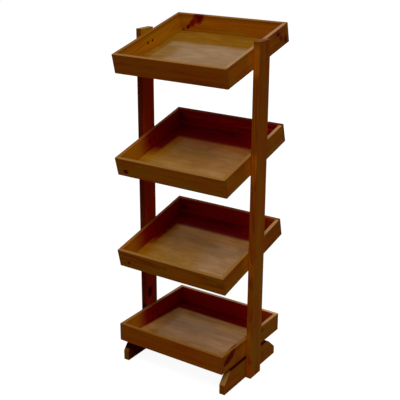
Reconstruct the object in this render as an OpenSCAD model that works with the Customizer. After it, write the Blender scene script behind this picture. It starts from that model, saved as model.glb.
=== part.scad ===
// Grocery display stand: four shallow board trays hung between two posts on board feet.
// Millimetres. X runs left to right, -Y is the front, +Z is up.
// The origin is on the floor, under the middle of the trays.

/* [Posts] */
// Width of each post board, front to back
post_w = 70; // [55:1:110]
// Thickness of each post board
post_t = 22; // [20:0.5:40]
// Top of the posts above the middle of the top tray
post_above = 48; // [40:1:200]
// Distance that posts and feet stand in front of the middle of the trays
post_forward = 3; // [-15:1:15]

/* [Tray boxes] */
// Outside width of a tray, left to right
tray_w = 450; // [300:5:900]
// Outside depth of a tray, front to back along its own slope
tray_d = 402; // [260:1:600]
// Height of the boards round a tray
board_h = 69; // [60:1:120]
// Thickness of the boards round a tray
board_t = 13; // [10:0.5:25]
// Thickness of the plywood base
base_t = 5; // [3:0.5:9]
// Width of the rebate under the boards that holds the base
rebate_w = 6; // [4:0.5:7]
// Gap between the edge of the base and its rebate
base_gap = 0.4; // [0.1:0.1:0.9]

/* [Tray levels] */
// Middle of the second tray below the middle of the top tray
upper_pitch = 356; // [250:1:500]
// Middle of the third tray below the middle of the second
middle_pitch = 352; // [250:1:500]
// Middle of the bottom tray below the middle of the third
lower_pitch = 346; // [250:1:500]
// Forward slope of the top tray, in degrees
top_angle = 14; // [0:0.5:25]
// Forward slope of the second tray, in degrees
second_angle = 15; // [0:0.5:25]
// Forward slope of the third tray, in degrees
third_angle = 13.5; // [0:0.5:25]
// Forward slope of the bottom tray, in degrees
bottom_angle = 0; // [0:0.5:10]

/* [Feet] */
// Length of each foot board, front to back
foot_l = 358; // [240:1:600]
// Height of each foot board
foot_h = 78; // [65:1:120]
// Thickness of each foot board
foot_t = 22; // [14:0.5:40]
// Height of the upright nose at the front end
front_nose = 38; // [20:1:50]
// Length that the front slope takes off the top edge
front_cut = 36; // [25:1:70]
// Height of the upright nose at the back end
back_nose = 30; // [20:1:50]
// Length that the back slope takes off the top edge
back_cut = 52; // [25:1:70]
// Radius that eases each slope into the top edge
ease_r = 32; // [5:1:40]
// Clear height between the feet and the bottom tray
foot_gap = 13; // [5:1:60]

/* [Wood screws] */
// Diameter of the screw shank
screw_d = 4; // [3:0.5:5]
// Diameter of the countersunk head
head_d = 8; // [6.5:0.5:9]
// Depth that a screw reaches into the post
screw_bite = 16; // [10:1:18]
// Length of the screw point
point_l = 5; // [3:0.5:8]
// Diameter of the screw's blunt tip
tip_d = 1; // [0.5:0.1:1.5]
// Distance between the two screws of a tray side
side_screw_gap = 28; // [14:1:34]
// Distance between the foot screws, front to back
foot_screw_gap = 34; // [14:1:36]
// Distance between the foot screws, up and down
foot_screw_rise = 40; // [14:1:44]
// Length of each arm across the driver recess
recess_l = 3.6; // [2:0.2:4]
// Width of each arm of the driver recess
recess_w = 0.9; // [0.5:0.1:1.2]
// Depth of the driver recess
recess_depth = 1.4; // [0.5:0.1:1.8]
// Gap all round a screw in its hole
screw_gap = 0.1; // [0.05:0.05:0.3]

/* [Panel pins] */
// Diameter of a corner pin
corner_pin_d = 1.6; // [1:0.2:2.4]
// Depth that a corner pin reaches into the end of a side board
corner_pin_bite = 25; // [12:1:35]
// Distance between the two pins of a corner
corner_pin_gap = 34; // [20:1:36]
// Diameter of a base pin
base_pin_d = 1.2; // [0.8:0.2:1.6]
// Depth that a base pin reaches into a board
base_pin_bite = 10; // [6:1:12]
// Distance of the outermost base pins from the inside corners
base_pin_inset = 45; // [25:1:60]
// Pins along the front and along the back of a base
base_pins_across = 4; // [2:1:8]
// Pins along each side of a base
base_pins_deep = 3; // [2:1:6]
// Diameter of a pin's head over that of its shank
pin_head_step = 0.8; // [0.4:0.2:1.2]
// Thickness of a pin's head
pin_head_t = 0.8; // [0.4:0.1:1.2]
// Gap all round a pin in its hole
pin_gap = 0.05; // [0.05:0.05:0.2]

/* [Hidden] */
$fn = 48;
TRAYS = ["top_tray", "second_tray", "third_tray", "bottom_tray"];
PIECES = ["front", "back", "left", "right", "base", "post_screws", "corner_pins", "base_pins"];

cut = 1;
ease_steps = 6;
slope = [top_angle, second_angle, third_angle, bottom_angle];
bottom_rise = board_h/2*cos(bottom_angle) + tray_d/2*sin(bottom_angle);
bottom_level = foot_h + foot_gap + bottom_rise;
third_level = bottom_level + lower_pitch;
second_level = third_level + middle_pitch;
top_level = second_level + upper_pitch;
level = [top_level, second_level, third_level, bottom_level];
post_h = top_level + post_above;

inner_w = tray_w - 2*board_t;
inner_d = tray_d - 2*board_t;
seat_w = inner_w + 2*rebate_w;
seat_d = inner_d + 2*rebate_w;
head_h = (head_d - screw_d)/2;

tray_wood = [0.44, 0.26, 0.10];
post_wood = [0.40, 0.22, 0.07];
ply_wood = [0.55, 0.40, 0.27];
screw_steel = [0.30, 0.28, 0.26];
pin_steel = [0.55, 0.54, 0.52];

function direction(v) = v/norm(v);

// Points of an arc of radius r that eases the corner b between a and c, on an anticlockwise outline
function eased(a, b, c, r) =
    let (
        to_a = direction(a - b),
        to_c = direction(c - b),
        half = acos(to_a*to_c)/2,
        centre = b + direction(to_a + to_c)*r/sin(half),
        first = b + to_a*r/tan(half) - centre,
        start = atan2(first[1], first[0]),
        turn = 2*(90 - half)
    )
    [for (i = [0:ease_steps]) centre + r*[cos(start + turn*i/ease_steps), sin(start + turn*i/ease_steps)]];

// Places a tray's own frame, whose origin is the middle of its boards
module at_tray(i) {
    translate([0, 0, level[i]]) rotate([slope[i], 0, 0]) children();
}

module on_both_sides() {
    children();
    mirror([1, 0, 0]) children();
}

module on_front_and_back() {
    children();
    mirror([0, 1, 0]) children();
}

// A wood screw that points along +X from the face that its head lies flush with
module wood_screw(length) {
    rotate([0, 90, 0]) difference() {
        union() {
            cylinder(h = head_h, d1 = head_d, d2 = screw_d);
            translate([0, 0, head_h]) cylinder(h = length - head_h - point_l, d = screw_d);
            translate([0, 0, length - point_l]) cylinder(h = point_l, d1 = screw_d, d2 = tip_d);
        }
        for (turn = [0, 90]) rotate([0, 0, turn])
            translate([-recess_l/2, -recess_w/2, -cut]) cube([recess_l, recess_w, recess_depth + cut]);
    }
}

// The countersunk hole of that screw, cut a little past its head and its point
module screw_hole(length) {
    rotate([0, 90, 0]) {
        translate([0, 0, -cut]) cylinder(h = length + screw_gap + cut, d = screw_d + 2*screw_gap);
        cylinder(h = head_h, d1 = head_d + 2*screw_gap, d2 = screw_d + 2*screw_gap);
        translate([0, 0, -cut]) cylinder(h = cut, d = head_d + 2*screw_gap);
    }
}

// A panel pin that points along +Z from the face that its head lies flush with
module panel_pin(d, length) {
    cylinder(h = pin_head_t, d = d + pin_head_step);
    cylinder(h = length, d = d);
}

module pin_hole(d, length) {
    translate([0, 0, -cut]) cylinder(h = pin_head_t + pin_gap + cut, d = d + pin_head_step + 2*pin_gap);
    cylinder(h = length + pin_gap, d = d + 2*pin_gap);
}

// Places of the two screws on the right side of a tray, in the tray's own frame
module at_side_screws(i) {
    for (side = [-1, 1])
        translate([inner_w/2, -post_forward/cos(slope[i]) + side*side_screw_gap/2, 0]) children();
}

// Places of the four screws of the right foot
module at_foot_screws() {
    for (side = [-1, 1]) for (rise = [-1, 1])
        translate([
            tray_w/2 - foot_t,
            -post_forward + side*foot_screw_gap/2,
            foot_h/2 + rise*foot_screw_rise/2
        ]) children();
}

// Places of the pins through the front and back boards into the side boards
module at_corner_pins() {
    on_both_sides() on_front_and_back() for (rise = [-1, 1])
        translate([tray_w/2 - board_t/2, -tray_d/2, rise*corner_pin_gap/2]) rotate([-90, 0, 0]) children();
}

// Places of the pins up through the base into the boards round it
module at_base_pins() {
    reach_w = inner_w - 2*base_pin_inset;
    reach_d = inner_d - 2*base_pin_inset;
    on_front_and_back() for (i = [0:base_pins_across - 1])
        translate([reach_w*(i/(base_pins_across - 1) - 0.5), inner_d/2 + rebate_w/2, -board_h/2])
            children();
    on_both_sides() for (i = [0:base_pins_deep - 1])
        translate([inner_w/2 + rebate_w/2, reach_d*(i/(base_pins_deep - 1) - 0.5), -board_h/2])
            children();
}

// What is taken out of the boards round a tray: the base's rebate and the pin holes
module tray_cuts() {
    translate([-seat_w/2, -seat_d/2, -board_h/2 - cut]) cube([seat_w, seat_d, base_t + cut]);
    at_corner_pins() pin_hole(corner_pin_d, board_t + corner_pin_bite);
    at_base_pins() pin_hole(base_pin_d, base_t + base_pin_bite);
}

module post_board() {
    color(post_wood) difference() {
        translate([tray_w/2, -post_forward - post_w/2, 0]) cube([post_t, post_w, post_h]);
        for (i = [0:3]) at_tray(i) at_side_screws(i) screw_hole(board_t + screw_bite);
        at_foot_screws() screw_hole(foot_t + screw_bite);
    }
}

module post_right() {
    post_board();
}

module post_left() {
    mirror([1, 0, 0]) post_board();
}

// The foot's side view, front end to the left
module foot_outline() {
    front = -foot_l/2;
    back = foot_l/2;
    front_top = [front + front_cut, foot_h];
    back_top = [back - back_cut, foot_h];
    polygon(concat(
        [[front, 0], [back, 0], [back, back_nose]],
        eased([back, back_nose], back_top, front_top, ease_r),
        eased(back_top, front_top, [front, front_nose], ease_r),
        [[front, front_nose]]
    ));
}

module foot_board() {
    color(post_wood) difference() {
        translate([tray_w/2 - foot_t, -post_forward, 0])
            rotate([90, 0, 90]) linear_extrude(foot_t) foot_outline();
        at_foot_screws() screw_hole(foot_t + screw_bite);
    }
}

module foot_right() {
    foot_board();
}

module foot_left() {
    mirror([1, 0, 0]) foot_board();
}

module foot_right_screws() {
    color(screw_steel) at_foot_screws() wood_screw(foot_t + screw_bite);
}

module foot_left_screws() {
    mirror([1, 0, 0]) foot_right_screws();
}

module tray_front(i) {
    color(tray_wood) at_tray(i) difference() {
        translate([-tray_w/2, -tray_d/2, -board_h/2]) cube([tray_w, board_t, board_h]);
        tray_cuts();
    }
}

module tray_back(i) {
    color(tray_wood) at_tray(i) difference() {
        translate([-tray_w/2, tray_d/2 - board_t, -board_h/2]) cube([tray_w, board_t, board_h]);
        tray_cuts();
    }
}

// A side board in the tray's own frame, drawn on the right
module side_board(i) {
    color(tray_wood) difference() {
        translate([inner_w/2, -inner_d/2, -board_h/2]) cube([board_t, inner_d, board_h]);
        tray_cuts();
        at_side_screws(i) screw_hole(board_t + screw_bite);
    }
}

module tray_right(i) {
    at_tray(i) side_board(i);
}

module tray_left(i) {
    at_tray(i) mirror([1, 0, 0]) side_board(i);
}

module tray_base(i) {
    base_w = seat_w - 2*base_gap;
    base_d = seat_d - 2*base_gap;
    color(ply_wood) at_tray(i) difference() {
        translate([-base_w/2, -base_d/2, -board_h/2]) cube([base_w, base_d, base_t]);
        at_base_pins() pin_hole(base_pin_d, base_t + base_pin_bite);
    }
}

module tray_post_screws(i) {
    color(screw_steel) at_tray(i) on_both_sides() at_side_screws(i) wood_screw(board_t + screw_bite);
}

module tray_corner_pins(i) {
    color(pin_steel) at_tray(i) at_corner_pins() panel_pin(corner_pin_d, board_t + corner_pin_bite);
}

module tray_base_pins(i) {
    color(pin_steel) at_tray(i) at_base_pins() panel_pin(base_pin_d, base_t + base_pin_bite);
}

post_left();
post_right();
foot_left();
foot_right();
foot_left_screws();
foot_right_screws();
for (i = [0:3]) {
    tray_front(i);
    tray_back(i);
    tray_left(i);
    tray_right(i);
    tray_base(i);
    tray_post_screws(i);
    tray_corner_pins(i);
    tray_base_pins(i);
}
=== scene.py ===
# %% [markdown]
# # A grocery display stand in stained pine
# The real stand is four shallow board trays held between two upright boards, with a foot board at the
# lower end of each. Its construction comes from the imported frame, so this lesson is about finish: boards
# with eased edges, a satin stain, and light that shows them. The frame is loaded first.

# %% Load the imported stand
import math
import random

import bmesh
import bpy
from mathutils import Matrix, Vector


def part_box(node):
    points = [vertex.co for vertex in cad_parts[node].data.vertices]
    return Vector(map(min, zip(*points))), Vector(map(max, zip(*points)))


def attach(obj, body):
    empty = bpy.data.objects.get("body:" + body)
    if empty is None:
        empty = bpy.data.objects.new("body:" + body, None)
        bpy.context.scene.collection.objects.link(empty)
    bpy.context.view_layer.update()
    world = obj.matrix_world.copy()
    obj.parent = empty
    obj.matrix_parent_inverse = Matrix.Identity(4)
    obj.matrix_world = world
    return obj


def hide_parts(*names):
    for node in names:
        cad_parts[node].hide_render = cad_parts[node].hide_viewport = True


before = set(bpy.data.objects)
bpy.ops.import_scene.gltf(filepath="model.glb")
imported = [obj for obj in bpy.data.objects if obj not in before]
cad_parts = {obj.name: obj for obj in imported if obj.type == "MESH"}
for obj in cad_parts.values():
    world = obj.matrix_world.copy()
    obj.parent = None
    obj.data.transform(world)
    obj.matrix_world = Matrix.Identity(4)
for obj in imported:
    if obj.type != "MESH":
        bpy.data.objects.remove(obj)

for spare_name in ("Cube", "Light", "Camera"):
    spare = bpy.data.objects.get(spare_name)
    if spare is not None:
        bpy.data.objects.remove(spare)

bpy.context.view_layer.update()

# %% [markdown]
# ## The camera
# The photograph was taken from the front and a little to the right, at eye height. A camera fitted to the
# corners of the boards gives its place, its two angles, a very small roll and its focal length in pixels.
# A lens in millimetres is that focal length times the sensor's width, over the picture's width.

# %% Place the camera
CAMERA_AT = Vector((1.5904, -2.3955, 1.6744))
CAMERA_TURN = math.radians(33.63)
CAMERA_DIP = math.radians(19.89)
CAMERA_ROLL = math.radians(0.23)
FOCAL_PIXELS = 852.9
PICTURE_PIXELS = 400
SENSOR_MM = 36

camera_data = bpy.data.cameras.new("camera")
camera_data.sensor_width = SENSOR_MM
camera_data.lens = FOCAL_PIXELS*SENSOR_MM/PICTURE_PIXELS
camera = bpy.data.objects.new("camera", camera_data)
bpy.context.scene.collection.objects.link(camera)
aim = Matrix.Rotation(CAMERA_TURN, 4, "Z") @ Matrix.Rotation(math.pi/2 - CAMERA_DIP, 4, "X")
camera.matrix_world = Matrix.Translation(CAMERA_AT) @ aim @ Matrix.Rotation(CAMERA_ROLL, 4, "Z")
bpy.context.scene.camera = camera
bpy.context.scene.view_settings.view_transform = "Standard"
print("lens", round(camera_data.lens, 2), "mm")

# %% [markdown]
# ## Light
# In the photograph the tops of the boards are light, the fronts are darker, and the back walls under
# another tray are darkest. One large soft source explains much of that: it hangs high in front and to the
# right, and each tray keeps it off the back of the tray below. It is far away, so the stand's foot gets as
# much as its top. A lamp's power that gives a surface facing it the plain level grows with the square of its
# distance, so the lamp is given a share of that level, not watts. A weaker lamp low behind on the left keeps
# the back readable. The glossy tray bases would mirror it towards the camera, so it is hidden from glossy
# rays. The rest of the light is even, from all round.

# %% Hang the soft lamps
LOOK_AT = Vector((0, 0, 0.75))
LAMP_DISTANCE = 8.0
LAMP_SIDE = 3.8


def soft_lamp(name, turn, height, share):
    """A square lamp aimed at the stand, at two angles in degrees, with a share of the plain level there."""
    data = bpy.data.lights.new(name, "AREA")
    data.shape = "SQUARE"
    data.size = LAMP_SIDE
    data.energy = share*(math.pi*LAMP_DISTANCE)**2
    lamp = bpy.data.objects.new(name, data)
    turn, height = math.radians(turn), math.radians(height)
    away = Vector((math.sin(turn)*math.cos(height), -math.cos(turn)*math.cos(height), math.sin(height)))
    lamp.location = LOOK_AT + away*LAMP_DISTANCE
    lamp.rotation_mode = "QUATERNION"
    lamp.rotation_quaternion = (-away).to_track_quat("-Z", "Y")
    bpy.context.scene.collection.objects.link(lamp)
    return lamp


soft_lamp("front_high", turn=38, height=53, share=0.70)
rear_lamp = soft_lamp("rear_low", turn=208, height=14, share=0.30)
rear_lamp.visible_glossy = False
print("lamps", [lamp.name for lamp in bpy.data.lights])

# %% [markdown]
# ## Joining nodes
# A material, and the world too, is a tree of small nodes that each take in values and give out new ones. A
# few helpers keep the trees below short. An input can hold a plain value or the output of another node, so
# the first helper takes either.

# %% Helpers that join nodes
def feed(tree, socket, value):
    """Gives an input a plain number or colour, or another node's output."""
    if isinstance(value, bpy.types.NodeSocket):
        tree.links.new(value, socket)
    else:
        socket.default_value = value


def maths(tree, operation, first, second=0.0):
    """One sum on two values. Operations that need only one of them leave the second out."""
    node = tree.nodes.new("ShaderNodeMath")
    node.operation = operation
    feed(tree, node.inputs[0], first)
    feed(tree, node.inputs[1], second)
    return node.outputs[0]


def chosen_shader(tree, amount, first, second):
    """The first shader where the amount is 0, and the second where it is 1."""
    node = tree.nodes.new("ShaderNodeMixShader")
    for socket, value in zip(node.inputs, (amount, first, second)):
        feed(tree, socket, value)
    return node.outputs[0]


def ray_is(tree, *kinds):
    """1 for a ray of one of these kinds, and 0 for any other."""
    path = tree.nodes.new("ShaderNodeLightPath")
    found = 0.0
    for kind in kinds:
        found = maths(tree, "MAXIMUM", found, path.outputs[kind])
    return found


print("helpers ready")

# %% [markdown]
# ## Surroundings
# The background is plain white. A world of strength 1 would show white but would also flood the shaded
# walls with light. Light Path tells the rays apart: the rays from the camera, and those that a glossy or
# clear surface sends on, meet white, while the rays that carry soft light meet a dim grey.

# %% Set the world
SOFT_FILL = 0.44
WHITE_LEVEL = 1.0


def even_light(tree, strength):
    """White light of one strength from all round."""
    node = tree.nodes.new("ShaderNodeBackground")
    node.inputs["Color"].default_value = (1, 1, 1, 1)
    node.inputs["Strength"].default_value = strength
    return node.outputs[0]


world = bpy.data.worlds.new("white_studio")
bpy.context.scene.world = world
world.use_nodes = True
sky = world.node_tree
sky.nodes.clear()
looks = ray_is(sky, "Is Camera Ray", "Is Glossy Ray", "Is Transmission Ray")
backdrop = chosen_shader(sky, looks, even_light(sky, SOFT_FILL), even_light(sky, WHITE_LEVEL))
sky_out = sky.nodes.new("ShaderNodeOutputWorld")
feed(sky, sky_out.inputs["Surface"], backdrop)
print("soft fill", SOFT_FILL)

# %% [markdown]
# ## Floor
# The floor has to vanish into the white background and still keep the stand's shadow. For the rays that
# look at it, a pale floor is mixed with a plain white glow, which covers most of the shadow. All other rays
# meet a plain grey floor, so that it doesn't light the boards from below or lie as a veil on their varnish.

# %% Make the floor's material
FLOOR_GREY = 0.22
SHADOW_GREY = 0.15
GLOW = 0.93


def new_material(name):
    """A material whose tree holds only its output."""
    made = bpy.data.materials.new(name)
    made.use_nodes = True
    made.node_tree.nodes.clear()
    made.node_tree.nodes.new("ShaderNodeOutputMaterial")
    return made


def show(tree, shader):
    feed(tree, tree.nodes["Material Output"].inputs["Surface"], shader)


def matt_grey(tree, grey):
    node = tree.nodes.new("ShaderNodeBsdfDiffuse")
    node.inputs["Color"].default_value = (grey, grey, grey, 1)
    return node.outputs[0]


def floor_material():
    made = new_material("studio_floor")
    tree = made.node_tree
    glow = tree.nodes.new("ShaderNodeEmission")
    glow.inputs["Strength"].default_value = GLOW
    shown = tree.nodes.new("ShaderNodeAddShader")
    feed(tree, shown.inputs[0], matt_grey(tree, SHADOW_GREY))
    feed(tree, shown.inputs[1], glow.outputs[0])
    looks = ray_is(tree, "Is Camera Ray", "Is Transmission Ray")
    show(tree, chosen_shader(tree, looks, matt_grey(tree, FLOOR_GREY), shown.outputs[0]))
    return made


print("the floor glows at", GLOW)

# %% Lay the floor
FLOOR_SIDE = 30

sheet = bmesh.new()
bmesh.ops.create_grid(sheet, x_segments=1, y_segments=1, size=FLOOR_SIDE/2)
floor_mesh = bpy.data.meshes.new("studio_floor")
sheet.to_mesh(floor_mesh)
sheet.free()
floor_mesh.materials.append(floor_material())
floor = bpy.data.objects.new("studio_floor", floor_mesh)
bpy.context.scene.collection.objects.link(floor)
print("floor", FLOOR_SIDE, "m square")

# %% [markdown]
# ## Which way each board runs
# Wood is drawn in a board's own directions: along its grain, across its width and through its thickness.
# The trays slope, so those directions slope too. The slope isn't typed in: it is measured on the frame, as
# the tilt of the largest flat of the tray's base. Object coordinates then pass through a Mapping node that
# carries each board back to its own middle and turns it level. The board's half sizes along its directions
# are measured too, because worn edges and sawn ends are placed by them.

# %% Measure the slopes
TRAYS = ("top_tray", "second_tray", "third_tray", "bottom_tray")


def slope_of(tray):
    """How far the tray leans towards the front, in radians, from its base's largest facet."""
    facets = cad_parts[tray + "_base"].data.polygons
    widest = max(facets, key=lambda facet: facet.area)
    normal = widest.normal if widest.normal.z > 0 else -widest.normal
    return math.atan2(-normal.y, normal.z)


slopes = {tray: slope_of(tray) for tray in TRAYS}
print({tray: round(math.degrees(angle), 1) for tray, angle in slopes.items()})

# %% Name each board's directions
def board_axes(node):
    """A board's directions: along its grain, across its width and through its thickness."""
    tray = next((name for name in TRAYS if node.startswith(name)), None)
    slope = slopes[tray] if tray else 0.0
    across = Vector((1, 0, 0))
    deep = Vector((0, math.cos(slope), math.sin(slope)))
    rise = Vector((0, -math.sin(slope), math.cos(slope)))
    if node.startswith("post_"):
        along, width = rise, deep
    elif node.startswith("foot_") or node.endswith(("_left", "_right")):
        along, width = deep, rise
    elif node.endswith("_base"):
        along, width = across, deep
    else:
        along, width = across, rise
    return Matrix((along, width, along.cross(width))).transposed()


def board_middle(node):
    low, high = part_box(node)
    return (low + high)/2


def half_sizes(node):
    """Half of a board's length, width and thickness, along its own directions."""
    level = board_axes(node).transposed()
    spots = [level @ vertex.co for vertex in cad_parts[node].data.vertices]
    return [(max(spot[i] for spot in spots) - min(spot[i] for spot in spots))/2 for i in range(3)]


print("a top tray side runs along", [round(v, 2) for v in board_axes("top_tray_left").col[0]])
print("half of it is", [round(v, 4) for v in half_sizes("top_tray_left")], "m")

# %% [markdown]
# ## Colours of the stain
# The colours are read off the photograph as ordinary screen values from 0 to 255. Shaders work in linear
# light, so one helper turns them. A stain has three colours: the soft early wood of each ring takes it up
# evenly, the hard late wood stays darker and redder, and in mottles it took another tone. The sides that
# face the room are olive and more yellow. Where another tray keeps the light off, the wood is painted the
# deep red of the stain, which is painted shade, and a few other tones below are painted light and shade as
# well. A knot has a colour for its heart and one for its rim, and a worn or sawn edge has one.

# %% Read a colour
def screen(red, green, blue):
    """Screen values from 0 to 255 as a linear colour with full alpha."""
    def straight(value):
        part = value/255
        return part/12.92 if part <= 0.04045 else ((part + 0.055)/1.055)**2.4
    return (straight(red), straight(green), straight(blue), 1.0)


print("white is", screen(255, 255, 255))

# %% Name the stains
STAINS = {
    "olive": ((131, 67, 4), (102, 45, 3), (113, 70, 2)),
    "russet": ((127, 58, 4), (98, 39, 3), (113, 58, 3)),
    # painted shade: the right post towards its top and two right boards behind the post
    "shaded": ((121, 58, 3), (92, 38, 2), (102, 57, 2)),
    # painted light thrown from the trays onto the right post's front
    "warm": ((156, 78, 5), (122, 54, 4), (140, 78, 4)),
    # painted light on the right boards just in front of the post
    "bright": ((153, 82, 6), (121, 56, 4), (133, 84, 4)),
    # lighter inner faces: partly the stain and partly painted light thrown back by the base
    "inner": ((169, 95, 7), (141, 71, 4), (151, 95, 5)),
    "golden": ((165, 99, 8), (146, 81, 5), (150, 97, 6)),
    "pale_inside": ((158, 116, 10), (135, 92, 6), (148, 114, 8)),
    # painted shade: the deep red of walls and of the left post under another tray
    "painted_shade_red": ((154, 12, 9), (128, 6, 6), (142, 9, 8)),
    "deep": ((131, 9, 7), (110, 5, 5), (121, 7, 6)),
    "dim": ((150, 40, 7), (124, 24, 5), (138, 31, 6)),
    "dim_front": ((98, 27, 6), (80, 17, 5), (90, 21, 5)),
    # painted shade on the left foot's inner face, under the bottom tray
    "dark": ((88, 23, 7), (68, 14, 5), (78, 18, 6)),
}
KNOTS = {
    "red": ((90, 9, 4), (120, 28, 5)),
    "ruddy": ((112, 18, 4), (124, 34, 5)),
    "ember": ((76, 8, 2), (90, 17, 3)),
    "brown": ((78, 26, 3), (100, 42, 4)),
    "umber": ((72, 10, 3), (96, 34, 4)),
    "dark": ((40, 7, 7), (84, 14, 6)),
    "dusk": ((52, 9, 7), (88, 15, 6)),
    "split": ((36, 14, 4), (70, 36, 12)),
    "faint": ((126, 38, 22), (128, 52, 10)),
    "rust": ((138, 56, 8), (134, 60, 6)),
}
WORN_AND_PAINTED_LIGHT = {
    "dull": (123, 80, 27),
    "plain": (136, 95, 45),
    # rims, paler partly by wear and partly as a painted highlight
    "light": (152, 114, 81),
    "pale": (171, 125, 79),
    "palest": (196, 151, 108),
    # painted shade on the second tray's back rim, under the top tray
    "painted_shade_rim": (66, 34, 12),
    "pale_slope": (136, 93, 43),
    # painted shade on the left foot's slope above the nose
    "painted_shade_slope": (38, 6, 4),
    # painted shade on the feet's top edges, close under the bottom tray
    "painted_gap_shade": (70, 8, 5),
    "sawn": (98, 52, 6),
    "weathered": (122, 96, 56),
}
print("olive early wood", [round(v, 3) for v in screen(*STAINS["olive"][0])[:3]])

# %% [markdown]
# ## Helpers for materials
# A material is a chain of nodes. These helpers each make one link of it, so that the wood further down
# reads like a recipe.

# %% Helpers for places on a board
def own_coordinates(tree, node):
    """Coordinates in metres from the board's middle, along, across and through the board."""
    place = tree.nodes.new("ShaderNodeTexCoord")
    turn = tree.nodes.new("ShaderNodeMapping")
    turn.vector_type = "TEXTURE"
    turn.inputs["Location"].default_value = board_middle(node)
    turn.inputs["Rotation"].default_value = board_axes(node).to_euler("XYZ")
    feed(tree, turn.inputs["Vector"], place.outputs["Object"])
    return turn.outputs["Vector"]


def scaled(tree, vector, scale, move=(0, 0, 0)):
    """The coordinates stretched by a scale along each direction, and then moved."""
    node = tree.nodes.new("ShaderNodeMapping")
    node.vector_type = "POINT"
    node.inputs["Location"].default_value = move
    node.inputs["Scale"].default_value = scale
    feed(tree, node.inputs["Vector"], vector)
    return node.outputs["Vector"]


def parted(tree, vector):
    """The three parts of a vector."""
    node = tree.nodes.new("ShaderNodeSeparateXYZ")
    feed(tree, node.inputs[0], vector)
    return node.outputs


def noise(tree, vector, detail=3.0, rough=0.55, distortion=0.0):
    """A smooth chance pattern, one lump to a unit of the coordinates."""
    node = tree.nodes.new("ShaderNodeTexNoise")
    node.inputs["Scale"].default_value = 1.0
    node.inputs["Detail"].default_value = detail
    node.inputs["Roughness"].default_value = rough
    node.inputs["Distortion"].default_value = distortion
    feed(tree, node.inputs["Vector"], vector)
    return node.outputs["Fac"]


print("the left foot's middle is at", [round(v, 3) for v in board_middle("foot_left")])

# %% Helpers for colour
def between(tree, value, low, high, out_low=0.0, out_high=1.0):
    """The value's run from low to high, eased at both ends and clamped, as a new range."""
    node = tree.nodes.new("ShaderNodeMapRange")
    node.interpolation_type = "SMOOTHSTEP"
    node.inputs["From Min"].default_value = low
    node.inputs["From Max"].default_value = high
    node.inputs["To Min"].default_value = out_low
    node.inputs["To Max"].default_value = out_high
    feed(tree, node.inputs["Value"], value)
    return node.outputs["Result"]


def mixed(tree, amount, first, second):
    """Two colours mixed. Inputs 6 and 7 and output 2 are the ones that a Mix node uses for colours."""
    node = tree.nodes.new("ShaderNodeMix")
    node.data_type = "RGBA"
    feed(tree, node.inputs["Factor"], amount)
    feed(tree, node.inputs[6], first)
    feed(tree, node.inputs[7], second)
    return node.outputs[2]


def times(tree, colour, factors):
    """A colour made darker or lighter by a factor for each of red, green and blue."""
    node = tree.nodes.new("ShaderNodeVectorMath")
    node.operation = "MULTIPLY"
    feed(tree, node.inputs[0], colour)
    node.inputs[1].default_value = factors
    return node.outputs["Vector"]


print("colours can be mixed and shaded")

# %% Helpers for the surface
def relief(tree, height, strength, distance):
    """The direction of a surface that this height roughens."""
    node = tree.nodes.new("ShaderNodeBump")
    node.inputs["Strength"].default_value = strength
    node.inputs["Distance"].default_value = distance
    feed(tree, node.inputs["Height"], height)
    return node.outputs["Normal"]


def show_surface(tree, inputs):
    """Ends a material with a Principled shader, given the values of its inputs by their names."""
    shader = tree.nodes.new("ShaderNodeBsdfPrincipled")
    for name, value in inputs.items():
        feed(tree, shader.inputs[name], value)
    show(tree, shader.outputs[0])


print("a material is now a few lines long")

# %% [markdown]
# ## Knots
# A knot is the foot of a branch that the tree has grown round. It shows as a dark round or, where the saw
# ran along the branch, as a long spike. Here it is an oval patch with a ragged edge, dark in its heart and
# redder at its rim. The rings near it bend round it, which is why its place is worked out before the rings.
# A knot goes right through its board, unless a place and a half size through the thickness limit it. The
# same patch also draws the dark stain round a screw head, the split in a board and the reddish spots.

# %% Describe a knot
RAGGED = (50.0, 130.0, 130.0)
RAGGED_BY = 0.9
KNOT_REACH = 2.0
RIGHT_THROUGH = (0.0, 1.0)


def knot_depth(tree, own, knot):
    """1 in a knot's heart and falling to 0 at twice its size, where its push on the rings ends."""
    along, width, half_long, half_wide, turn, _, *inside = knot
    deep, half_deep = inside or RIGHT_THROUGH
    node = tree.nodes.new("ShaderNodeMapping")
    node.vector_type = "TEXTURE"
    node.inputs["Location"].default_value = (along, width, deep)
    node.inputs["Rotation"].default_value = (0, 0, math.radians(turn))
    node.inputs["Scale"].default_value = (half_long, half_wide, half_deep)
    feed(tree, node.inputs["Vector"], own)
    size = tree.nodes.new("ShaderNodeVectorMath")
    size.operation = "LENGTH"
    feed(tree, size.inputs[0], node.outputs["Vector"])
    ragged = maths(tree, "MULTIPLY", noise(tree, scaled(tree, own, RAGGED), detail=2), RAGGED_BY)
    uneven = maths(tree, "SUBTRACT", maths(tree, "ADD", size.outputs["Value"], ragged), RAGGED_BY/2)
    return between(tree, uneven, 0.0, KNOT_REACH, 1.0, 0.0)


print("a knot is its place along and across, its half length and half width, its turn and its tone")

# %% [markdown]
# ## Rings of the tree
# Rings run round the pith of the tree, which lies some way outside the board and not quite in line with
# it. Most of these boards have it beyond one edge, so that their faces show straight lines. A few have it
# behind a face, and show long arches. Blender's Wave texture draws rings round an axis, so faces and edges
# get their lines from the same rings. They are stretched along the board, where a tree changes slowly. The
# texture multiplies places by 20 before it counts one ring for each turn of 2 pi.

# %% Draw the rings
RING_STEP = 0.0040
WAVE_FACTOR = 20
RING_STRETCH = (0.25, 1, 1)
RING_WAVER = 5.0
WAVER_DETAIL = 2.0
WAVER_SCALE = 0.10
PITH_AWAY = (0.05, 0.11)
PITH_ASIDE = (-0.03, 0.03)
PITH_TILT = (-0.035, 0.035)
PITH_TURN = (-0.03, 0.03)
ARCHED_SHARE = 0.25
KNOT_PUSH = 0.010


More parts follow.
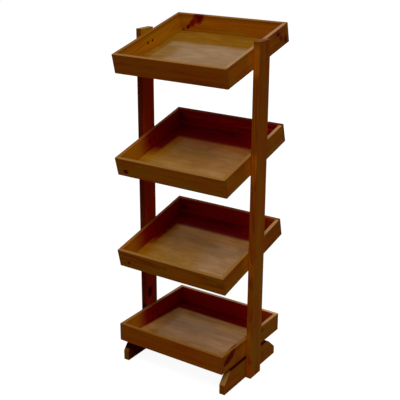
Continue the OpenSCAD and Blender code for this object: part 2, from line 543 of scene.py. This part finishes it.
def tree_rings(tree, own, draw, heart):
    """A value that climbs from 0 to 1 in each ring, whose late wood is at its upper end."""
    away, aside = draw.uniform(*PITH_AWAY), draw.uniform(*PITH_ASIDE)
    if draw.random() < ARCHED_SHARE:
        away, aside = aside, away
    pith = tree.nodes.new("ShaderNodeMapping")
    pith.inputs["Location"].default_value = (0, away, aside)
    pith.inputs["Rotation"].default_value = (0, draw.uniform(*PITH_TILT), draw.uniform(*PITH_TURN))
    feed(tree, pith.inputs["Vector"], own)
    push = tree.nodes.new("ShaderNodeCombineXYZ")
    feed(tree, push.inputs["Z"], maths(tree, "MULTIPLY", heart, KNOT_PUSH))
    bent = tree.nodes.new("ShaderNodeVectorMath")
    bent.operation = "ADD"
    feed(tree, bent.inputs[0], pith.outputs["Vector"])
    feed(tree, bent.inputs[1], push.outputs["Vector"])
    rings = tree.nodes.new("ShaderNodeTexWave")
    rings.wave_type = "RINGS"
    rings.rings_direction = "X"
    rings.wave_profile = "SAW"
    rings.inputs["Scale"].default_value = 2*math.pi/(WAVE_FACTOR*RING_STEP)
    rings.inputs["Distortion"].default_value = RING_WAVER
    rings.inputs["Detail"].default_value = WAVER_DETAIL
    rings.inputs["Detail Scale"].default_value = WAVER_SCALE
    feed(tree, rings.inputs["Vector"], scaled(tree, bent.outputs["Vector"], RING_STRETCH))
    return rings.outputs["Fac"]


print("rings", RING_STEP*1000, "mm apart")

# %% [markdown]
# ## Stained pine
# Over the rings lie fine streaks and broader bands along the grain, and slow patches where the stain took
# another tone. A noise stretched along the board draws each of them, and a chance shift makes no two boards
# alike. Each board's wood is kept as one object while it is made: it knows its places and its grain, and
# every finish further down covers a part of it with another stain or colour.

# %% Choose the sizes of the grain
BANDS_OF_GRAIN = (2.5, 62.0, 62.0)
STREAKS = (3.0, 170.0, 170.0)
FIBRES = (12.0, 900.0, 900.0)
PATCHES = (7.0, 28.0, 28.0)
FARTHEST_SHIFT = 40
LATE_WOOD = (0.35, 1.0)
LINE_SHARES = {"late": 0.30, "streaks": 0.55, "bands": 0.65}
DARK_LINES = (0.46, 0.90)
MOTTLES = (0.40, 0.66, 0.0, 0.8)
print("a board's lines are", LINE_SHARES)

# %% Stain a board
class Pine:
    """The pine of one board. The seed moves the board to another part of the tree."""

    def __init__(self, node, seed, stain, knots=()):
        draw = random.Random(seed)
        self.half_long, self.half_wide, self.half_thick = half_sizes(node)
        self.made = new_material(node + "_pine")
        self.tree = tree = self.made.node_tree
        own = own_coordinates(tree, node)
        self.along, self.across, self.through = parted(tree, own)
        self.knots = [(knot[5], knot_depth(tree, own, knot)) for knot in knots]
        heart = 0.0
        for _, depth in self.knots:
            heart = maths(tree, "MAXIMUM", heart, depth)
        self.late = between(tree, tree_rings(tree, own, draw, heart), *LATE_WOOD)
        shift = tuple(draw.uniform(0, FARTHEST_SHIFT) for _ in range(3))
        bands = noise(tree, scaled(tree, own, BANDS_OF_GRAIN, shift), detail=2, distortion=0.3)
        self.streaks = noise(tree, scaled(tree, own, STREAKS, shift), detail=4, rough=0.65)
        self.fibres = noise(tree, scaled(tree, own, FIBRES, shift), detail=2)
        self.patches = noise(tree, scaled(tree, own, PATCHES, shift), detail=2, distortion=0.6)
        lines = maths(tree, "MULTIPLY", self.late, LINE_SHARES["late"])
        lines = maths(tree, "ADD", lines, maths(tree, "MULTIPLY", self.streaks, LINE_SHARES["streaks"]))
        lines = maths(tree, "ADD", lines, maths(tree, "MULTIPLY", bands, LINE_SHARES["bands"]))
        self.dark_lines = between(tree, lines, *DARK_LINES)
        self.mottles = between(tree, self.patches, *MOTTLES)
        self.colour = self.stained(stain)

    def stained(self, stain):
        """The board's wood in one stain."""
        early, late, mottle = (screen(*colour) for colour in STAINS[stain])
        lined = mixed(self.tree, self.dark_lines, early, late)
        return mixed(self.tree, self.mottles, lined, mottle)

    def part(self, value, low, high, at_low=0.0, at_high=1.0):
        """A part of the board, given by where one of its values runs from low to high."""
        return between(self.tree, value, low, high, at_low, at_high)

    def both(self, first, second):
        """What two parts of the board share."""
        return maths(self.tree, "MULTIPLY", first, second)

    def cover(self, part, colour):
        """Lays a stain, by its name, or another colour over a part of the board."""
        over = self.stained(colour) if isinstance(colour, str) else colour
        self.colour = mixed(self.tree, part, self.colour, over)


print("a board can be stained", ", ".join(STAINS))

# %% [markdown]
# ## Faces and fronts
# Most finishes lie on one face of a board. A face is taken as a thin layer under it, so that its colour
# doesn't run through the board. On the tray boards the layer is deeper than on the posts and feet, so that a
# wall's tone comes over onto its rim. The side is +1 for an inner face that looks along the board's third
# direction, and -1 for one that looks the other way.

# %% Find a board's faces
TRAY_LAYER = (0.0055, 0.0015)
UPRIGHT_LAYER = (0.0015, 0.0005)
FRONT_LAYER = (0.0004, 0.0014)


def inner_face(wood, side, layer):
    """1 on the board's inner face, from the depths under it where its tone starts and is full."""
    inwards = maths(wood.tree, "MULTIPLY", wood.through, side)
    return wood.part(inwards, wood.half_thick - layer[0], wood.half_thick - layer[1])


def front_face(wood):
    """1 on the narrow front of an upright board."""
    full, start = (depth - wood.half_wide for depth in FRONT_LAYER)
    return wood.part(wood.across, full, start, 1.0, 0.0)


print("a tray wall's tone starts", TRAY_LAYER[0]*1000, "mm under its face")

# %% [markdown]
# ## Painted shade under another tray
# Under another tray the walls are painted a deep red, which is painted shade. On a side wall it begins with
# a soft border that follows the patches of the wood. On a back wall it is everywhere, and in some trays it
# fades to a quarter towards the right end.

# %% Paint the shade red
WANDER = 0.05
FADES_TO = 0.25


def painted_shade_from(wood, start, full):
    """1 on the end of a side wall where shade is painted, with a wandering border between two places along
    it.
    """
    wandering = maths(wood.tree, "ADD", wood.along, maths(wood.tree, "MULTIPLY", wood.patches, WANDER))
    return wood.part(wandering, start + WANDER/2, full + WANDER/2)


def fading(wood, start, end):
    """1 along the board, falling to what is left of the painted shade beyond its end."""
    return wood.part(wood.along, start, end, 1.0, FADES_TO)


print("a border wanders by", WANDER*1000, "mm at most")

# %% [markdown]
# ## Wear, painted highlights and painted shade
# A tray board's top edge is paler, partly where sanding and hands have thinned the stain and partly as a
# painted highlight, and one rim is darker as painted shade. Sawn ends are darker, because open pores drink
# more of it. The back and left walls of the top tray have a darker strip just under the rim. The feet's top
# edges lie close under the bottom tray and are painted nearly black, which is painted shade.

# %% Wear the edges and ends
RIM_LAYER = (0.0011, 0.0003)
REAR_OF_RIM = (0.04, 0.12)
END_LAYER = (0.0010, 0.0002)
END_SHARE = 0.8
TOP_LAYER = (0.0016, 0.0004)
UNDER_RIM = (0.0215, 0.0015)
GRIME = (0.64, 0.60, 0.58)


def under_top(wood, layer, share=1.0):
    """A layer of the board's width under its top edge, with a share of its full strength."""
    return wood.part(wood.across, wood.half_wide - layer[0], wood.half_wide - layer[1], 0.0, share)


def tone_rim(wood, share, front_tone, rear_tone):
    """Gives a board's top edge its tone, which may be paler at the rear than in front. A paler rim is partly
    wear and partly a painted highlight, and the darkest one, under the top tray, is painted shade.
    """
    to_rear = wood.part(wood.along, *REAR_OF_RIM)
    worn_and_highlit = mixed(wood.tree, to_rear, screen(*WORN_AND_PAINTED_LIGHT[front_tone]), screen(*WORN_AND_PAINTED_LIGHT[rear_tone]))
    wood.cover(under_top(wood, RIM_LAYER, share), worn_and_highlit)


def tone_ends(wood, tone="sawn"):
    """Gives a board's two sawn ends their own tone."""
    from_middle = maths(wood.tree, "ABSOLUTE", wood.along)
    start, full = (wood.half_long - depth for depth in END_LAYER)
    wood.cover(wood.part(from_middle, start, full, 0.0, END_SHARE), screen(*WORN_AND_PAINTED_LIGHT[tone]))


def dull_under_rim(wood, face):
    """Leaves grime on the inner face, just under the rim."""
    wood.cover(wood.both(face, under_top(wood, UNDER_RIM)), times(wood.tree, wood.colour, GRIME))


# painted shade on a foot's top edge, close under the bottom tray
def shade_foot_top(wood):
    wood.cover(under_top(wood, TOP_LAYER), screen(*WORN_AND_PAINTED_LIGHT["painted_gap_shade"]))


print("ends are", END_SHARE, "sawn wood")

# %% [markdown]
# ## The knots' colours and the varnish
# The knots come over all other tones. A red knot is red only inside the tray, and brown on the outer face.
# Last comes the satin varnish. It is thin, so it mirrors little, and the stain tints its sheen. Its
# roughness follows the streaks, and a very low relief follows the fibres and rings.

# %% Varnish the pine
RED_KNOTS = ("red", "ruddy")
AGED_RED = "umber"
KNOT_RIM = (0.22, 0.60)
KNOT_HEART = (0.50, 0.85)
SHEEN_TINT = (0.9, 0.5, 0.15, 1.0)
SATIN = (0.3, 0.7, 0.30, 0.42)
SATIN_MIRROR = 0.015
SATIN_IOR = 1.38


def draw_knots(wood, face=None):
    """Colours the knots, each by its tone. A red knot is red only on the inner face that is given."""
    for tone, depth in wood.knots:
        heart, rim = (screen(*colour) for colour in KNOTS[tone])
        if face is not None and tone in RED_KNOTS:
            aged_heart, aged_rim = (screen(*colour) for colour in KNOTS[AGED_RED])
            heart = mixed(wood.tree, face, aged_heart, heart)
            rim = mixed(wood.tree, face, aged_rim, rim)
        wood.cover(wood.part(depth, *KNOT_RIM), rim)
        wood.cover(wood.part(depth, *KNOT_HEART), heart)


def varnish(wood):
    """Ends the board's material with its satin surface."""
    height = maths(wood.tree, "ADD", wood.fibres, wood.late)
    show_surface(wood.tree, {
        "Base Color": wood.colour, "Roughness": wood.part(wood.streaks, *SATIN), "IOR": SATIN_IOR,
        "Specular IOR Level": SATIN_MIRROR, "Specular Tint": SHEEN_TINT,
        "Normal": relief(wood.tree, height, strength=0.12, distance=0.0004)})
    return wood.made


print("satin roughness", SATIN[2:])

# %% [markdown]
# ## Boards with eased edges
# The frame's boards have knife-sharp edges. A joiner takes every long edge off with fine paper, and that
# thin round catches the light. Each board is a merged copy of its node, so its rebate and its holes for
# screws and pins stay where they are. Only long outward edges are bevelled: the rims of holes are short.

# %% Ease a board
MERGE = 0.00001
FLAT = math.radians(0.5)
SHARP = math.radians(25)
LONG = 0.009
EASE = 0.0012
EASE_STEPS = 3


def is_long_corner(edge):
    if not edge.is_manifold or not edge.is_convex:
        return False
    return edge.calc_face_angle() > SHARP and edge.calc_length() > LONG


def eased_board(node, material):
    """A copy of a node's board with its long edges eased, which stands for the node."""
    shape = bmesh.new()
    shape.from_mesh(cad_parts[node].data)
    bmesh.ops.remove_doubles(shape, verts=shape.verts, dist=MERGE)
    bmesh.ops.dissolve_limit(shape, angle_limit=FLAT, verts=shape.verts, edges=shape.edges)
    corners = [edge for edge in shape.edges if is_long_corner(edge)]
    bmesh.ops.bevel(
        shape, geom=corners, offset=EASE, segments=EASE_STEPS, profile=0.5, affect="EDGES", material=-1,
        clamp_overlap=True)
    for face in shape.faces:
        face.material_index = 0
    mesh = bpy.data.meshes.new(node + "_finished")
    shape.to_mesh(mesh)
    shape.free()
    mesh.materials.append(material)
    board = bpy.data.objects.new(node + "_finished", mesh)
    bpy.context.scene.collection.objects.link(board)
    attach(board, "root")
    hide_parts(node)
    return board


print("edges eased by", EASE*1000, "mm")

# %% [markdown]
# ## Posts
# Both posts are plain softwood boards. The left one is painted dim red in front and inside up to the top
# tray, which is painted shade under the trays, and paler inside above it. Its sawn top has weathered pale,
# and it has one larger knot and a small one low down. The right one is redder in front, painted darker
# towards its top, which is painted shade, painted warmer in front beside each tray, which is painted light
# thrown from the trays, and has two reddish spots at its foot. All places on a post are given by how far
# they lie from its middle, along and across it, in metres.

# %% Finish the posts
LEFT_POST_KNOTS = (
    (-0.398, -0.011, 0.021, 0.014, 5, "dusk"),
    (-0.452, -0.035, 0.014, 0.006, 0, "dark", 0.0, 0.012),
)
RIGHT_POST_KNOTS = (
    (-0.545, -0.034, 0.012, 0.009, 0, "faint", -0.006, 0.009),
    (-0.582, -0.036, 0.022, 0.012, 0, "rust", -0.010, 0.014),
)
PAINTED_SHADE_TO = (0.545, 0.575)
SHADED_UPWARDS = (-0.05, 0.45)
PAINTED_LIGHT_PLACES = ((-0.474, 0.6), (-0.165, 0.6), (0.186, 1.0), (0.546, 1.0))
PAINTED_LIGHT_REACH = (0.030, 0.065)


def left_post():
    wood = Pine("post_left", 11, "olive", LEFT_POST_KNOTS)
    face = inner_face(wood, -1, UPRIGHT_LAYER)
    red = fading(wood, *PAINTED_SHADE_TO)
    wood.cover(face, "pale_inside")
    # painted shade: dim red inside and in front, up to the top tray
    wood.cover(wood.both(red, face), "dim")
    wood.cover(wood.both(red, front_face(wood)), "dim_front")
    tone_ends(wood, "weathered")
    draw_knots(wood)
    return eased_board("post_left", varnish(wood))


def right_post():
    wood = Pine("post_right", 12, "olive", RIGHT_POST_KNOTS)
    front = front_face(wood)
    wood.cover(front, "russet")
    # painted shade towards the post's top
    wood.cover(wood.part(wood.along, *SHADED_UPWARDS), "shaded")
    # painted light in front beside each tray, thrown from the trays
    for place, share in PAINTED_LIGHT_PLACES:
        away = maths(wood.tree, "ABSOLUTE", maths(wood.tree, "SUBTRACT", wood.along, place))
        wood.cover(wood.both(front, wood.part(away, *PAINTED_LIGHT_REACH, share, 0.0)), "warm")
    tone_ends(wood)
    draw_knots(wood)
    return eased_board("post_right", varnish(wood))


print("finished", left_post().name, right_post().name)

# %% [markdown]
# ## Feet
# The left foot's inner face is painted dark, which is painted shade under the bottom tray, and its sloped
# front is painted darker still above the nose, which is painted shade too. The right foot's slope is paler,
# and fades back towards the wood at its top, where the bottom tray's shade is painted. The slope is found on
# the frame: it is the largest facet that looks both forwards and upwards. A point lies on it when it is as
# far from the foot's middle along the facet's normal as the facet.

# %% Finish the feet
SLOPE_LAYER = (0.0016, 0.0008)
LOOKS_THAT_WAY = 0.5
PAINTED_SHADE_SLOPE_FROM = (0.004, 0.009)
PALE_SLOPE_UP_TO = (0.010, 0.036, 1.0, 0.45)


def front_slope(wood, node):
    """1 on a foot's sloped front face, which runs up and back from the top of its nose."""
    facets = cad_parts[node].data.polygons
    sloping = [facet for facet in facets if min(-facet.normal.y, facet.normal.z) > LOOKS_THAT_WAY]
    slope = max(sloping, key=lambda facet: facet.area)
    level = slope.normal.dot(slope.center - board_middle(node))
    by_length = maths(wood.tree, "MULTIPLY", wood.along, slope.normal.y)
    by_height = maths(wood.tree, "MULTIPLY", wood.across, slope.normal.z)
    distance = maths(wood.tree, "ADD", by_length, by_height)
    return wood.part(distance, level - SLOPE_LAYER[0], level - SLOPE_LAYER[1])


def left_foot():
    wood = Pine("foot_left", 13, "olive")
    # painted shade on the inner face, under the bottom tray
    wood.cover(inner_face(wood, 1, UPRIGHT_LAYER), "dark")
    tone_ends(wood)
    # painted shade on the slope above the nose
    painted_shade_slope = wood.part(wood.across, *PAINTED_SHADE_SLOPE_FROM)
    wood.cover(wood.both(front_slope(wood, "foot_left"), painted_shade_slope), screen(*WORN_AND_PAINTED_LIGHT["painted_shade_slope"]))
    shade_foot_top(wood)
    return eased_board("foot_left", varnish(wood))


def right_foot():
    wood = Pine("foot_right", 14, "olive")
    tone_ends(wood)
    # paler slope, fading back to the wood at its top as painted shade of the bottom tray
    pale_slope = wood.part(wood.across, *PALE_SLOPE_UP_TO)
    wood.cover(wood.both(front_slope(wood, "foot_right"), pale_slope), screen(*WORN_AND_PAINTED_LIGHT["pale_slope"]))
    shade_foot_top(wood)
    return eased_board("foot_right", varnish(wood))


print("finished", left_foot().name, right_foot().name)

# %% [markdown]
# ## What each tray board shows
# Each tray has a board at the front, one at the back and one on each side. No two boards are alike, so
# each has its own seed, and the knots that the photograph shows are given to the boards that have them.
# Small stains lie round the screw heads of three left boards. A rim's tone is given as its share and its
# tones in front and at the rear; paler rims are partly wear and partly a painted highlight, and the dark rim
# under the top tray is painted shade. The side walls' painted shade starts at a place of its own in each
# tray.
# The right boards are painted lighter just in front of the post, which is painted light, and two of them
# darker behind, which is painted shade.

# %% List the tray boards' own marks
TRAY_KNOTS = {
    "top_tray_back": (
        (-0.130, 0.026, 0.028, 0.018, 40, "red"), (-0.158, 0.004, 0.022, 0.010, 42, "ruddy"),
        (-0.180, -0.013, 0.011, 0.006, 40, "red"), (-0.204, -0.026, 0.006, 0.004, 0, "red")),
    "top_tray_left": (
        (0.0105, 0.002, 0.0040, 0.0034, 0, "red"), (-0.016, 0.005, 0.0040, 0.0034, 0, "red")),
    "top_tray_right": (
        (0.132, 0.017, 0.017, 0.009, -25, "umber"), (0.148, -0.002, 0.015, 0.009, -53, "brown"),
        (0.178, -0.016, 0.012, 0.014, 0, "umber")),
    "second_tray_front": (
        (-0.186, -0.014, 0.012, 0.008, 10, "umber"), (0.126, -0.034, 0.034, 0.003, 0, "brown")),
    "second_tray_left": (
        (0.127, 0.003, 0.012, 0.006, 10, "red"),
        (0.0105, 0.002, 0.0062, 0.0050, 0, "umber", 0.0065, 0.004),
        (-0.0125, 0.004, 0.0062, 0.0050, 0, "umber", 0.0065, 0.004)),
    "third_tray_front": ((-0.181, -0.011, 0.007, 0.006, 0, "umber"),),
    "bottom_tray_left": (
        (0.0105, 0.003, 0.0066, 0.0054, 0, "umber", 0.0065, 0.004),
        (-0.0115, 0.003, 0.0066, 0.0054, 0, "umber", 0.0065, 0.004)),
    "bottom_tray_right": (
        (-0.153, 0.011, 0.040, 0.0145, 23, "ember"),
        (-0.110, 0.0345, 0.022, 0.006, 0, "split", -0.0054, 0.0042),
        (0.0775, 0.0165, 0.006, 0.006, 0, "umber")),
}
# rims paler by wear and a painted highlight, and one darker as painted shade
RIM_WEAR_AND_LIGHT = {
    "front": (0.9, "plain", "plain"), "back": (0.3, "plain", "plain"), "left": (0.3, "plain", "plain"),
    "right": (0.9, "plain", "pale"), "top_tray_right": (0.95, "light", "light"),
    "second_tray_back": (0.8, "painted_shade_rim", "painted_shade_rim"), "bottom_tray_front": (0.9, "dull", "dull"),
    "bottom_tray_back": (0.95, "palest", "palest"), "bottom_tray_left": (0.7, "plain", "palest"),
    "bottom_tray_right": (0.85, "dull", "pale"),
}
RUSSET_BOARDS = ("top_tray_front", "bottom_tray_front")
SHADED_BOARDS = ("top_tray_right", "third_tray_right")
SHADED_TO_REAR = (0.05, 0.12)
INNER_TONES = {"top_tray_left": "golden", "third_tray_back": "olive", "bottom_tray_back": "olive"}
DEEPER_SHADE_BOARDS = ("second_tray_left", "third_tray_left", "bottom_tray_left")
GRIMY_BOARDS = ("top_tray_back", "top_tray_left")
SIDES_SHADE_FROM = {
    "second_tray": (-0.092, -0.012), "third_tray": (-0.155, -0.035), "bottom_tray": (-0.125, -0.045),
}
FADING_BACKS = ("third_tray", "bottom_tray")
BACK_FADES = (0.12, 0.24)
NEAR_POST = (-0.090, -0.048)
BEHIND_POST = (0.0, 0.010)
print(sum(len(knots) for knots in TRAY_KNOTS.values()), "knots and marks on", len(TRAY_KNOTS), "boards")

# %% Finish the tray boards
INNER_SIDES = {"front": -1, "back": 1, "left": 1, "right": -1}


def shade_walls_red(wood, tray, side, face):
    """Paints shade, as the stain's deep red, on the walls that a tray above them keeps the light off."""
    if tray == TRAYS[0] or side == "front":
        return
    red = 1.0
    if side != "back":
        red = painted_shade_from(wood, *SIDES_SHADE_FROM[tray])
    elif tray in FADING_BACKS:
        red = fading(wood, *BACK_FADES)
    wood.cover(wood.both(red, face), "deep" if tray + "_" + side in DEEPER_SHADE_BOARDS else "painted_shade_red")


def tray_board(tray, side, seed):
    node = tray + "_" + side
    wood = Pine(node, seed, "russet" if node in RUSSET_BOARDS else "olive", TRAY_KNOTS.get(node, ()))
    face = inner_face(wood, INNER_SIDES[side], TRAY_LAYER)
    # painted shade on the rear of two right boards
    if node in SHADED_BOARDS:
        wood.cover(wood.part(wood.along, *SHADED_TO_REAR), "shaded")
    # painted light on the right boards just in front of the post
    if side == "right":
        near_post = wood.part(wood.along, *NEAR_POST)
        before_it = wood.part(wood.along, *BEHIND_POST, 1.0, 0.0)
        wood.cover(wood.both(near_post, before_it), "bright")
    # inner faces lighter: partly the stain and partly painted light thrown back by the base
    wood.cover(face, INNER_TONES.get(node, "inner"))
    # painted shade, as a deep red, on the walls under another tray
    shade_walls_red(wood, tray, side, face)
    if node in GRIMY_BOARDS:
        dull_under_rim(wood, face)
    if side in ("front", "back"):
        tone_ends(wood)
    tone_rim(wood, *RIM_WEAR_AND_LIGHT.get(node, RIM_WEAR_AND_LIGHT[side]))
    draw_knots(wood, face)
    return eased_board(node, varnish(wood))


for tray_number, tray in enumerate(TRAYS, start=1):
    for side_number, side in enumerate(INNER_SIDES):
        tray_board(tray, side, seed=100*tray_number + side_number)
print("finished", len(TRAYS)*len(INNER_SIDES), "tray boards")

# %% [markdown]
# ## Plywood
# Each tray's base is thin plywood. Its face is peeled off a turning log, so its figure is broad and wavy,
# without straight ring lines, and it runs from side to side. It is the glossiest wood of the stand. Its tone
# changes from front to rear, and that change is painted light and shade. Another tone fills a strip along
# the left wall, and the right part is painted greyer by some share, which is a painted reflection of the
# white backdrop. Along the left and the back wall of a tray that has another above it, the base is painted
# red, which is painted shade, and in part a painted reflection of the walls. That band has a blurred edge
# and its own width along each wall, widens on the left towards the rear, and begins some way from the
# front. In the top tray it is only more golden, which is a painted reflection of its walls.

# %% List the bases' colours
# painted reflection of the top tray's walls
REFLECTED_WALL_GOLD = (127, 85, 19)
# painted shade under another tray
BASE_SHADE_RED = (112, 5, 8)
# painted reflection of the white backdrop
REFLECTED_BACKDROP_GREY = (152, 115, 79)
BASES = {
    "top_tray": {
        "front": (134, 98, 50), "middle": (134, 98, 53), "rear": (146, 116, 82), "strip": (150, 115, 71),
        "rear_from": (0.018, 0.075), "strip_to": (-0.200, -0.165), "backdrop_share": 0.0, "ior": 1.20,
        "band": REFLECTED_WALL_GOLD, "left_band": 0.030, "back_band": 0.099, "blur": 0.010,
        "widens": 0.0, "band_from": -0.25},
    "second_tray": {
        "front": (149, 107, 46), "middle": (142, 91, 17), "rear": (164, 88, 1), "strip": (149, 95, 12),
        "rear_from": (0.030, 0.085), "strip_to": (-0.192, -0.152), "backdrop_share": 0.25, "ior": 1.11,
        "band": BASE_SHADE_RED, "left_band": 0.045, "back_band": 0.090, "blur": 0.010,
        "widens": 0.07, "band_from": -0.025},
    "third_tray": {
        "front": (145, 103, 42), "middle": (150, 103, 46), "rear": (181, 123, 61), "strip": (141, 86, 6),
        "rear_from": (0.030, 0.085), "strip_to": (-0.192, -0.152), "backdrop_share": 0.9, "ior": 1.13,
        "band": BASE_SHADE_RED, "left_band": 0.030, "back_band": 0.083, "blur": 0.009,
        "widens": 0.05, "band_from": -0.035},
    "bottom_tray": {
        "front": (125, 86, 38), "middle": (152, 108, 67), "rear": (181, 130, 75), "strip": (168, 119, 62),
        "rear_from": (0.030, 0.085), "strip_to": (-0.192, -0.152), "backdrop_share": 0.2, "ior": 1.14,
        "band": BASE_SHADE_RED, "left_band": 0.022, "back_band": 0.057, "blur": 0.007,
        "widens": 0.085, "band_from": -0.085},
}
print("back bands are", [base["back_band"]*1000 for base in BASES.values()], "mm wide")

# %% Spread the colours over a base
FRONT_TO_MIDDLE = (-0.10, -0.02)
RIGHT_PART = (-0.02, 0.08)
SOFT_START = 0.045


def wall_shade_band(tree, tray, across, deep):
    """1 on the band of painted shade and reflection along the left and back walls, given by its widths at
    their corner.
    """
    base = BASES[tray]
    inner_back, _, half_wall = half_sizes(tray + "_left")
    inner_left = 2*half_wall - half_sizes(tray + "_front")[0]
    blur, back_edge = base["blur"], inner_back - base["back_band"]
    left_edge = inner_left + base["left_band"] - base["widens"]*back_edge
    leaning = maths(tree, "SUBTRACT", across, maths(tree, "MULTIPLY", deep, base["widens"]))
    by_left = between(tree, leaning, left_edge - blur, left_edge + blur, 1.0, 0.0)
    start = base["band_from"]
    by_left = maths(tree, "MULTIPLY", by_left, between(tree, deep, start - SOFT_START, start + SOFT_START))
    by_back = between(tree, deep, back_edge - blur, back_edge + blur)
    return maths(tree, "MAXIMUM", by_left, by_back)


def base_colour(tree, tray, across, deep):
    """The base's colour without its figure, from the front to the rear and beside the walls."""
    base = BASES[tray]
    # the rear tone is painted light and shade, the greyer right part a painted reflection, and the wall band
    # painted shade and reflection
    steps = (
        (between(tree, deep, *FRONT_TO_MIDDLE), base["middle"]),
        (between(tree, across, *RIGHT_PART, 0.0, base["backdrop_share"]), REFLECTED_BACKDROP_GREY),
        (between(tree, deep, *base["rear_from"]), base["rear"]),
        (between(tree, across, *base["strip_to"], 1.0, 0.0), base["strip"]),
        (wall_shade_band(tree, tray, across, deep), base["band"]),
    )
    colour = screen(*base["front"])
    for part, tone in steps:
        colour = mixed(tree, part, colour, screen(*tone))
    return colour


print("a base is greyest more than", RIGHT_PART[1]*1000, "mm to the right of its middle")

# %% [markdown]
# ## The plywood's figure and varnish
# Broad waves and fine lines make the figure, and slow clouds lie over it. Both only make the base's colour
# a little darker or lighter. The underside was never varnished, so it is matt and pale.

# %% Choose the plywood's figure
VENEER_WAVES = (5.0, 22.0, 22.0)
VENEER_LINES = (6.0, 200.0, 200.0)
CLOUDS = (16.0, 26.0, 26.0)
WAVE_SHARE = 0.75
FIGURE = ((0.36, 0.64), (1.10, 1.12, 1.16), (0.86, 0.83, 0.76))
CLOUDING = ((0.38, 0.62), (1.03, 1.05, 1.11), (0.95, 0.92, 0.82))
VENEER_RAW = (150, 108, 64)
RAW_FIGURE = ((0.30, 0.70), (1.08, 1.08, 1.08), (0.88, 0.86, 0.84))
UNDER_LAYER = (0.0005, 0.0015)
VARNISHED = 0.20
UNVARNISHED = 0.85
print("plywood roughness", VARNISHED, "above and", UNVARNISHED, "below")

# %% Make the plywood
def figured(tree, value, colour, figure):
    """A colour made lighter and darker where a value is low and high."""
    limits, at_low, at_high = figure
    amount = between(tree, value, *limits)
    return mixed(tree, amount, times(tree, colour, at_low), times(tree, colour, at_high))


def plywood(tray, seed):
    """The plywood of one tray's base."""
    node = tray + "_base"
    draw = random.Random(seed)
    made = new_material(node + "_plywood")
    tree = made.node_tree
    own = own_coordinates(tree, node)
    across, deep, through = parted(tree, own)
    shift = tuple(draw.uniform(0, FARTHEST_SHIFT) for _ in range(3))
    waves = noise(tree, scaled(tree, own, VENEER_WAVES, shift), detail=3, distortion=2.0)
    lines = noise(tree, scaled(tree, own, VENEER_LINES, shift), detail=3, rough=0.6)
    clouds = noise(tree, scaled(tree, own, CLOUDS, shift), detail=3, rough=0.6, distortion=1.0)
    waves = maths(tree, "MULTIPLY", waves, WAVE_SHARE)
    figure = maths(tree, "ADD", waves, maths(tree, "MULTIPLY", lines, 1 - WAVE_SHARE))
    face = figured(tree, figure, base_colour(tree, tray, across, deep), FIGURE)
    face = figured(tree, clouds, face, CLOUDING)
    raw = figured(tree, figure, screen(*VENEER_RAW)[:3], RAW_FIGURE)
    full, start = (depth - half_sizes(node)[2] for depth in UNDER_LAYER)
    below = between(tree, through, full, start, 1.0, 0.0)
    show_surface(tree, {
        "Base Color": mixed(tree, below, face, raw), "IOR": BASES[tray]["ior"],
        "Roughness": between(tree, below, 0.0, 1.0, VARNISHED, UNVARNISHED), "Specular Tint": SHEEN_TINT,
        "Normal": relief(tree, lines, strength=0.05, distance=0.0003)})
    return made


print("the plywood's figure is", VENEER_WAVES, "waves to a metre")

# %% [markdown]
# ## Steel of screws and pins
# The screws are dark, dull steel and the pins bright. Both are small, so a fine speckle in their colour and
# roughness is all the wear that shows.

# %% Make the steel
SPECKLE = (900, 900, 900)
SPECKLE_COLOURS = (0.35, 0.65)
SPECKLE_GLOSS = (0.3, 0.7)
SPECKLE_ROUGHENS = 0.15


def steel(name, light, dark, roughness):
    made = new_material(name)
    tree = made.node_tree
    place = tree.nodes.new("ShaderNodeTexCoord")
    speckle = noise(tree, scaled(tree, place.outputs["Object"], SPECKLE), detail=3)
    show_surface(tree, {
        "Base Color": mixed(tree, between(tree, speckle, *SPECKLE_COLOURS), screen(*light), screen(*dark)),
        "Roughness": between(tree, speckle, *SPECKLE_GLOSS, roughness, roughness + SPECKLE_ROUGHENS),
        "Metallic": 1.0})
    return made


screw_steel = steel("screw_steel_dull", light=(48, 22, 12), dark=(26, 10, 5), roughness=0.55)
pin_steel = steel("pin_steel_bright", light=(120, 108, 92), dark=(84, 74, 62), roughness=0.35)
print("steels", screw_steel.name, pin_steel.name)

# %% [markdown]
# ## Bases, screws and pins
# These keep the frame's own shapes, which are right as they are, and only get their finish.

# %% Finish the bases and fasteners
def dress(node, material):
    """Gives one of the frame's own pieces its material."""
    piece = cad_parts[node]
    piece.material_slots[0].material = material


for seed, tray in enumerate(TRAYS, start=50):
    dress(tray + "_base", plywood(tray, seed))
    dress(tray + "_post_screws", screw_steel)
    dress(tray + "_corner_pins", pin_steel)
    dress(tray + "_base_pins", pin_steel)
for foot in ("foot_left", "foot_right"):
    dress(foot + "_screws", screw_steel)
print("dressed the frame's own bases and fasteners")
